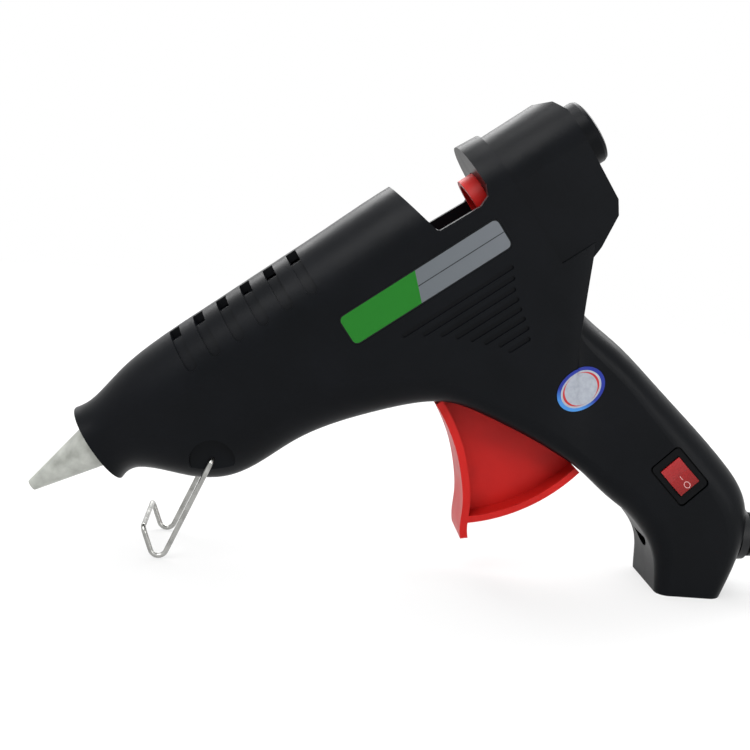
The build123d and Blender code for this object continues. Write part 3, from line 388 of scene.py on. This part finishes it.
def printed_vinyl():
    """A die-cut vinyl oval: a blue rim, lighter at its front end, a silver field and two red crescents."""
    material, tree, place = begin("printed_vinyl")
    squeezed = (STICKER_HALF[0] * CRESCENT_SQUEEZE, STICKER_HALF[1])
    oval = gun_place(tree, place, STICKER_CENTRE, size=STICKER_HALF)
    short_oval = gun_place(tree, place, STICKER_CENTRE, size=squeezed)
    reach = add(tree, "ShaderNodeVectorMath", {0: oval}, operation="LENGTH").outputs["Value"]
    short_reach = add(tree, "ShaderNodeVectorMath", {0: short_oval}, operation="LENGTH").outputs["Value"]
    rim = add(tree, "ShaderNodeMath", {0: reach, 1: STICKER_RIM}, operation="GREATER_THAN")
    inside = add(tree, "ShaderNodeMath", {0: reach, 1: STICKER_FIELD}, operation="LESS_THAN")
    outside = add(tree, "ShaderNodeMath", {0: short_reach, 1: STICKER_FIELD}, operation="GREATER_THAN")
    both = {0: inside.outputs["Value"], 1: outside.outputs["Value"]}
    crescent = add(tree, "ShaderNodeMath", both, operation="MULTIPLY")
    forward = add(tree, "ShaderNodeVectorMath", {0: oval, 1: RIM_FRONT}, operation="DOT_PRODUCT")
    turning = {"Value": forward.outputs["Value"], "From Min": RIM_TURNS[0], "From Max": RIM_TURNS[1]}
    light = add(tree, "ShaderNodeMapRange", turning).outputs["Result"]
    blues = {"Factor": light, 6: linear("14288a"), 7: linear("3c82c8")}
    blue = add(tree, "ShaderNodeMix", blues, data_type="RGBA")
    inputs = patches(tree, place, 1.2, ("959aa4", "a4a9b2"), (0.32, 0.38))
    layer = {"Factor": crescent.outputs["Value"], 6: inputs["Base Color"], 7: linear("b0272b")}
    colour = add(tree, "ShaderNodeMix", layer, data_type="RGBA")
    layer = {"Factor": rim.outputs["Value"], 6: colour.outputs[2], 7: blue.outputs[2]}
    colour = add(tree, "ShaderNodeMix", layer, data_type="RGBA")
    inputs["Base Color"] = colour.outputs[2]
    inputs["Specular IOR Level"] = 0.3
    inputs["Normal"] = grain(tree, place, 1.4, 0.01, 0.15)
    return finish(material, tree, inputs)


def dress_nodes():
    """Every CAD node that stays gets the material of the real piece."""
    finishes = {
        moulded_abs: ["left_housing", "right_housing"],
        moulded_polypropylene: ["trigger", "feed_carriage"],
        turned_aluminium: ["nozzle"],
        cast_aluminium: ["melt_chamber"],
        drawn_steel: ["wire_stand", "trigger_pivot_pin", "trigger_spring", "clamp_pin", "sleeve_clamp"],
        zinc_steel: ["housing_screws", "cord_clamp_screws", "clamp_jaw"],
        rolled_brass: ["electrode_upper", "electrode_lower", "switch_terminals", "plug_blades"],
        soft_pvc: ["strain_relief", "plug_body", "cord_clamp", "lead_switch", "lead_live", "lead_neutral"],
        cut_pvc_strip: ["hank_tie"],
        cast_silicone: ["inlet_sleeve"],
        pressed_phenolic: ["front_ring", "rear_ring"],
        fired_ceramic: ["ptc_heater"],
        moulded_nylon: ["switch_body"],
        tinted_polycarbonate: ["rocker"],
        printed_foil: ["label_plate"],
        printed_vinyl: ["oval_sticker"],
    }
    for make, names in finishes.items():
        material = make()
        for name in names:
            mesh = frame["nodes"][name].data
            mesh.materials.clear()
            mesh.materials.append(material)


# ---- the cord --------------------------------------------------------------------------------------------
CORD_D = 5.8 * MM
EXIT_GUN = (171.9, -131.6)
CORD_INNER_END = -22.0 * MM
RELIEF_END = 38.0 * MM
CORD_STRAIGHT = 22.0 * MM
CORD_DROP_RUN = 32.0 * MM
CORD_FLOOR_RUN = 28.0 * MM
HANK_Y = 3.0 * MM
HANK_LOOP_R = 3 * CORD_D
HANK_WAIST_R = 24.0 * MM
HANK_WAIST_HALF = CORD_D / 2 + 0.2 * MM
HANK_TURNS = 4
TURN_STEPS = 22
# the share of each turn over which it climbs one diameter, on its way back round the near loop
CLIMB = (0.62, 0.92)
TIE_T = 0.8 * MM
TIE_GAP = 0.1 * MM
TAIL_BACK = 14.0 * MM
TAIL_LENGTH = 24.0 * MM
TAIL_LIFT = 0.1 * MM
CROSS_IN = 10.6 * MM
CROSS_SAG = 0.7 * MM
TAIL_EASE = (5.5 * MM, 15.0 * MM)
PLUG_GRIP = 14.0 * MM
PLUG_LENGTH = 38.0 * MM
INTO_BOOT = 3.0 * MM


def cord_route():
    """The CAD tube's corners: out of the relief, down to the floor, and along it into the hank."""
    exit_at = gun(*EXIT_GUN)
    inner = exit_at + Vector((CORD_INNER_END, 0.0, 0.0))
    past = exit_at + Vector((RELIEF_END + CORD_STRAIGHT, 0.0, 0.0))
    low = Vector((past.x + CORD_DROP_RUN, HANK_Y - HANK_LOOP_R, CORD_D / 2))
    return [inner, past, low, low + Vector((CORD_FLOOR_RUN, 0.0, 0.0))]


def hank_point(distance, bulge, loop_at):
    """A point of one turn, by the distance along it from the near loop's side, and the turn's length."""
    loop_arc = HANK_LOOP_R * bulge
    waist_arc = 2 * HANK_WAIST_R * bulge
    round_loop = HANK_LOOP_R * math.pi + 2 * loop_arc
    half_turn = round_loop + waist_arc
    side = 1.0
    if distance > half_turn:
        distance -= half_turn
        side = -1.0
    if distance < loop_arc:
        angle = distance / HANK_LOOP_R - math.pi / 2
        x = -loop_at + HANK_LOOP_R * math.cos(angle)
        y = HANK_LOOP_R * math.sin(angle)
    elif distance < loop_arc + waist_arc:
        angle = (distance - loop_arc) / HANK_WAIST_R - bulge
        x = HANK_WAIST_R * math.sin(angle)
        y = HANK_WAIST_R * math.cos(angle) - HANK_WAIST_R - HANK_WAIST_HALF
    else:
        angle = (distance - loop_arc - waist_arc) / HANK_LOOP_R - math.pi / 2 - bulge
        x = loop_at + HANK_LOOP_R * math.cos(angle)
        y = HANK_LOOP_R * math.sin(angle)
    return Vector((side * x, side * y, 0.0)), 2 * half_turn


def hank_points(centre, bulge, loop_at):
    """Turns that lie on one another, each climbing a diameter to the next."""
    points = []
    turn_length = hank_point(0.0, bulge, loop_at)[1]
    for k in range(1, HANK_TURNS * TURN_STEPS + 1):
        turn, step = divmod(k, TURN_STEPS)
        share = step / TURN_STEPS
        climb = min(max((share - CLIMB[0]) / (CLIMB[1] - CLIMB[0]), 0.0), 1.0)
        level = CORD_D * (turn + 0.5 + climb)
        flat = hank_point(share * turn_length, bulge, loop_at)[0]
        points.append(centre + flat + Vector((0.0, 0.0, level)))
    return points


def cord_points():
    """The route, the hank's turns, and the last strand over the tie and into the plug's boot."""
    bulge = math.acos((HANK_WAIST_R + HANK_WAIST_HALF) / (HANK_LOOP_R + HANK_WAIST_R))
    loop_at = (HANK_LOOP_R + HANK_WAIST_R) * math.sin(bulge)
    route = cord_route()
    centre = Vector((route[-1].x + loop_at, HANK_Y, 0.0))
    top = HANK_TURNS * CORD_D
    over_tie = top + TIE_T + TIE_GAP + CORD_D / 2 + TAIL_LIFT
    tail_start = centre + Vector((-TAIL_BACK, 0.0, over_tie))
    rise = top + PLUG_GRIP / 2 + TAIL_LIFT - over_tie
    tail_way = Vector((TAIL_LENGTH + PLUG_LENGTH, 0.0, rise)).normalized()
    crossing = [
        centre + Vector((CROSS_IN - loop_at, -HANK_LOOP_R, over_tie - CROSS_SAG)),
        tail_start + tail_way * TAIL_EASE[0],
        tail_start + tail_way * TAIL_EASE[1],
        tail_start + tail_way * (TAIL_LENGTH + INTO_BOOT),
    ]
    return route + hank_points(centre, bulge, loop_at) + crossing


def make_cord():
    points = cord_points()
    curve = bpy.data.curves.new("cord", "CURVE")
    curve.dimensions = "3D"
    curve.bevel_depth = CORD_D / 2
    curve.bevel_resolution = 5
    curve.resolution_u = 6
    curve.use_fill_caps = True
    spline = curve.splines.new("NURBS")
    spline.points.add(len(points) - 1)
    for knot, point in zip(spline.points, points):
        knot.co = (*point, 1.0)
    spline.order_u = 3
    spline.use_endpoint_u = True
    cord = bpy.data.objects.new("cord", curve)
    bpy.context.scene.collection.objects.link(cord)
    curve.materials.append(soft_pvc())
    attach(cord, "gun")
    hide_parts("power_cord", "cord_hank", "cord_tail")


# ---- pieces made here ------------------------------------------------------------------------------------
def deselect():
    bpy.ops.object.select_all(action="DESELECT")


def pick(test):
    """In edit mode, selects the edges of the active piece whose middle passes the test."""
    bpy.ops.mesh.select_mode(type="EDGE")
    bpy.ops.mesh.select_all(action="DESELECT")
    bpy.ops.object.mode_set(mode="OBJECT")
    mesh = bpy.context.object.data
    for edge in mesh.edges:
        ends = [mesh.vertices[k].co for k in edge.vertices]
        edge.select = test((ends[0] + ends[1]) / 2)
    bpy.ops.object.mode_set(mode="EDIT")


def stand_at(place, along, outward):
    """Moves the active piece, drawn on the level plane round zero, to a place where its y axis runs along."""
    side = along.cross(outward)
    turn = Matrix((side, along, outward)).transposed().to_4x4()
    bpy.context.object.matrix_world = Matrix.Translation(place) @ turn
    bpy.ops.object.transform_apply(location=True, rotation=True, scale=True)


def settle(name, body, material):
    """Gives the active piece its name, its finish and its body."""
    piece = bpy.context.object
    piece.name = name
    piece.data.materials.clear()
    piece.data.materials.append(material)
    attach(piece, body)
    return piece


ROCKER_AXIS_Y = -12.4
ROCKER_TILT = 6.0
ROCKER_END_Y = -15.4
ROCKER_FOLD_Y = -14.7
MARK_SINK = 0.03
MARK_RISE = 0.06
BAR_SIZE = (0.2, 1.3)
BAR_CORNER = 0.4
BAR_AT = 0.75
RING_RADIUS = (0.9, 1.05)
RING_LINE = 0.17
RING_AT = 3.3
RING_SIDES = 48


def rocker_face(at):
    """Place, long direction and outward direction on the rocker's face, by millimetres from its fold."""
    angle = math.radians(SWITCH_TURN)
    along = U_AXIS * math.cos(angle) + V_AXIS * math.sin(angle)
    across = Y_AXIS.cross(along)
    tilt = Matrix.Rotation(math.radians(ROCKER_TILT), 3, across)
    slope = (ROCKER_END_Y - ROCKER_FOLD_Y) / ROCKER_HALF
    depth = ROCKER_FOLD_Y + slope * abs(at) - ROCKER_AXIS_Y
    middle = along * (at * MM) + Y_AXIS * (depth * MM)
    face_way = (along + Y_AXIS * (slope * math.copysign(1.0, at))).normalized()
    outward = face_way.cross(across)
    outward = outward if outward.y < 0 else -outward
    return gun(*SWITCH_CENTRE, ROCKER_AXIS_Y) + tilt @ middle, tilt @ face_way, tilt @ outward


def raise_print(at, name, material):
    """Thickens the flat print that is being edited, and sets it on the rocker."""
    bpy.ops.mesh.select_all(action="SELECT")
    bpy.ops.mesh.extrude_region_move(TRANSFORM_OT_translate={"value": (0, 0, (MARK_RISE + MARK_SINK) * MM)})
    bpy.ops.mesh.select_all(action="SELECT")
    bpy.ops.mesh.normals_make_consistent(inside=False)
    bpy.ops.object.mode_set(mode="OBJECT")
    place, face_way, outward = rocker_face(at)
    stand_at(place - outward * (MARK_SINK * MM), face_way, outward)
    settle(name, "rocker", material)


def make_marks():
    """The bar and the ring of an on-off rocker, as thin raised print."""
    ink = pad_ink()
    deselect()
    bpy.ops.mesh.primitive_plane_add(size=1.0)
    bpy.ops.object.mode_set(mode="EDIT")
    bpy.ops.transform.resize(value=(BAR_SIZE[0] * MM, BAR_SIZE[1] * MM, 1.0))
    bpy.ops.mesh.bevel(offset=BAR_CORNER * BAR_SIZE[0] * MM, segments=3, affect="VERTICES")
    raise_print(BAR_AT, "mark_on", ink)
    deselect()
    bpy.ops.mesh.primitive_circle_add(vertices=RING_SIDES, radius=1.0, fill_type="NGON")
    bpy.ops.object.mode_set(mode="EDIT")
    bpy.ops.transform.resize(value=(RING_RADIUS[0] * MM, RING_RADIUS[1] * MM, 1.0))
    bpy.ops.mesh.inset(thickness=RING_LINE * MM)
    bpy.ops.mesh.delete(type="FACE")
    raise_print(RING_AT, "mark_off", ink)


# ---- floor, backdrop and light ---------------------------------------------------------------------------
FLOOR_FRONT = -1.6
WALL_AT = 1.9
COVE_R = 0.7
COVE_STEPS = 14
WALL_TOP = 2.6
HALF_WIDTH = 3.0


def seen_share(tree):
    """1 where the camera, a reflection or a refraction looks, and 0 where only light falls."""
    path = add(tree, "ShaderNodeLightPath")
    seen = path.outputs["Is Camera Ray"]
    for ray in ("Is Glossy Ray", "Is Transmission Ray"):
        either = add(tree, "ShaderNodeMath", {0: seen, 1: path.outputs[ray]}, operation="MAXIMUM")
        seen = either.outputs["Value"]
    return seen


PAPER_GLOW = 0.65
GLOW_RISES = (0.35, 0.80)


def studio_paper():
    """Seamless white paper: matt, with shadows near the object, and a painted glow that rises to full white
    further off.
    """
    material, tree, place = begin("studio_paper")
    inputs = patches(tree, place, 300.0, ("dadada", "dedede"), (0.86, 0.94))
    paper = add(tree, "ShaderNodeBsdfPrincipled", inputs)
    glow = add(tree, "ShaderNodeEmission", {"Color": (1, 1, 1, 1), "Strength": 1.0})
    # painted glow: the paper's glow is painted stronger with distance from the centre, from PAPER_GLOW near
    # the object to full white beyond GLOW_RISES
    away = add(tree, "ShaderNodeVectorMath", {0: place}, operation="LENGTH")
    rise = {"From Min": GLOW_RISES[0], "From Max": GLOW_RISES[1], "To Min": PAPER_GLOW, "To Max": 1.0}
    glow_share = add(tree, "ShaderNodeMapRange", {"Value": away.outputs["Value"], **rise})
    shown = {0: seen_share(tree), 1: glow_share.outputs["Result"]}
    share = add(tree, "ShaderNodeMath", shown, operation="MULTIPLY")
    mixed = {0: share.outputs["Value"], 1: paper.outputs["BSDF"], 2: glow.outputs["Emission"]}
    both = add(tree, "ShaderNodeMixShader", mixed)
    add(tree, "ShaderNodeOutputMaterial", {"Surface": both.outputs["Shader"]})
    return material


def make_backdrop():
    """One sheet: the floor, a cove and the wall behind."""
    deselect()
    bpy.ops.mesh.primitive_plane_add(size=1.0)
    backdrop = bpy.context.object
    backdrop.name = "backdrop"
    bpy.ops.object.mode_set(mode="EDIT")
    bpy.ops.transform.resize(value=(2 * HALF_WIDTH, WALL_AT - FLOOR_FRONT, 1.0))
    bpy.ops.transform.translate(value=(0.0, (WALL_AT + FLOOR_FRONT) / 2, 0.0))
    pick(lambda middle: middle.y > WALL_AT - COVE_R)
    bpy.ops.mesh.extrude_region_move(TRANSFORM_OT_translate={"value": (0.0, 0.0, WALL_TOP)})
    pick(lambda middle: middle.y > WALL_AT - COVE_R and middle.z < COVE_R and abs(middle.x) < COVE_R)
    bpy.ops.mesh.bevel(offset=COVE_R, segments=COVE_STEPS)
    bpy.ops.object.mode_set(mode="OBJECT")
    bpy.ops.object.shade_smooth()
    backdrop.data.materials.append(studio_paper())


def soft_box(name, place, aim, width, height, watts):
    data = bpy.data.lights.new(name, "AREA")
    data.shape = "RECTANGLE"
    data.size = width
    data.size_y = height
    data.energy = watts
    light = bpy.data.objects.new(name, data)
    bpy.context.scene.collection.objects.link(light)
    turn = (aim - place).to_track_quat("-Z", "Y").to_matrix().to_4x4()
    light.matrix_world = Matrix.Translation(place) @ turn


WORLD_LIGHT = 0.35
LIT_AT = (100, -30)
# name, place, width, height and watts
SOFT_BOXES = (
    ("key", (-0.45, -0.60, 0.90), 0.7, 0.5, 8.0),
    ("top", (-0.10, 0.15, 1.00), 0.7, 0.5, 7.0),
    ("rim", (0.10, 0.75, 0.70), 1.6, 0.5, 15.0),
    ("fill", (0.65, -0.80, 0.28), 0.6, 0.4, 2.8),
)


def make_light():
    for name, place, width, height, watts in SOFT_BOXES:
        soft_box(name, Vector(place), gun(*LIT_AT), width, height, watts)
    world = bpy.data.worlds.new("studio")
    bpy.context.scene.world = world
    world.use_nodes = True
    tree = world.node_tree
    tree.nodes.clear()
    strength = {0: seen_share(tree), 1: 1.0 - WORLD_LIGHT, 2: WORLD_LIGHT}
    strength = add(tree, "ShaderNodeMath", strength, operation="MULTIPLY_ADD").outputs["Value"]
    sky = add(tree, "ShaderNodeBackground", {"Color": (1, 1, 1, 1), "Strength": strength})
    add(tree, "ShaderNodeOutputWorld", {"Surface": sky.outputs["Background"]})


make_camera()
make_cord()
dress_nodes()
make_marks()
make_backdrop()
make_light()
bpy.context.scene.view_settings.view_transform = "Standard"
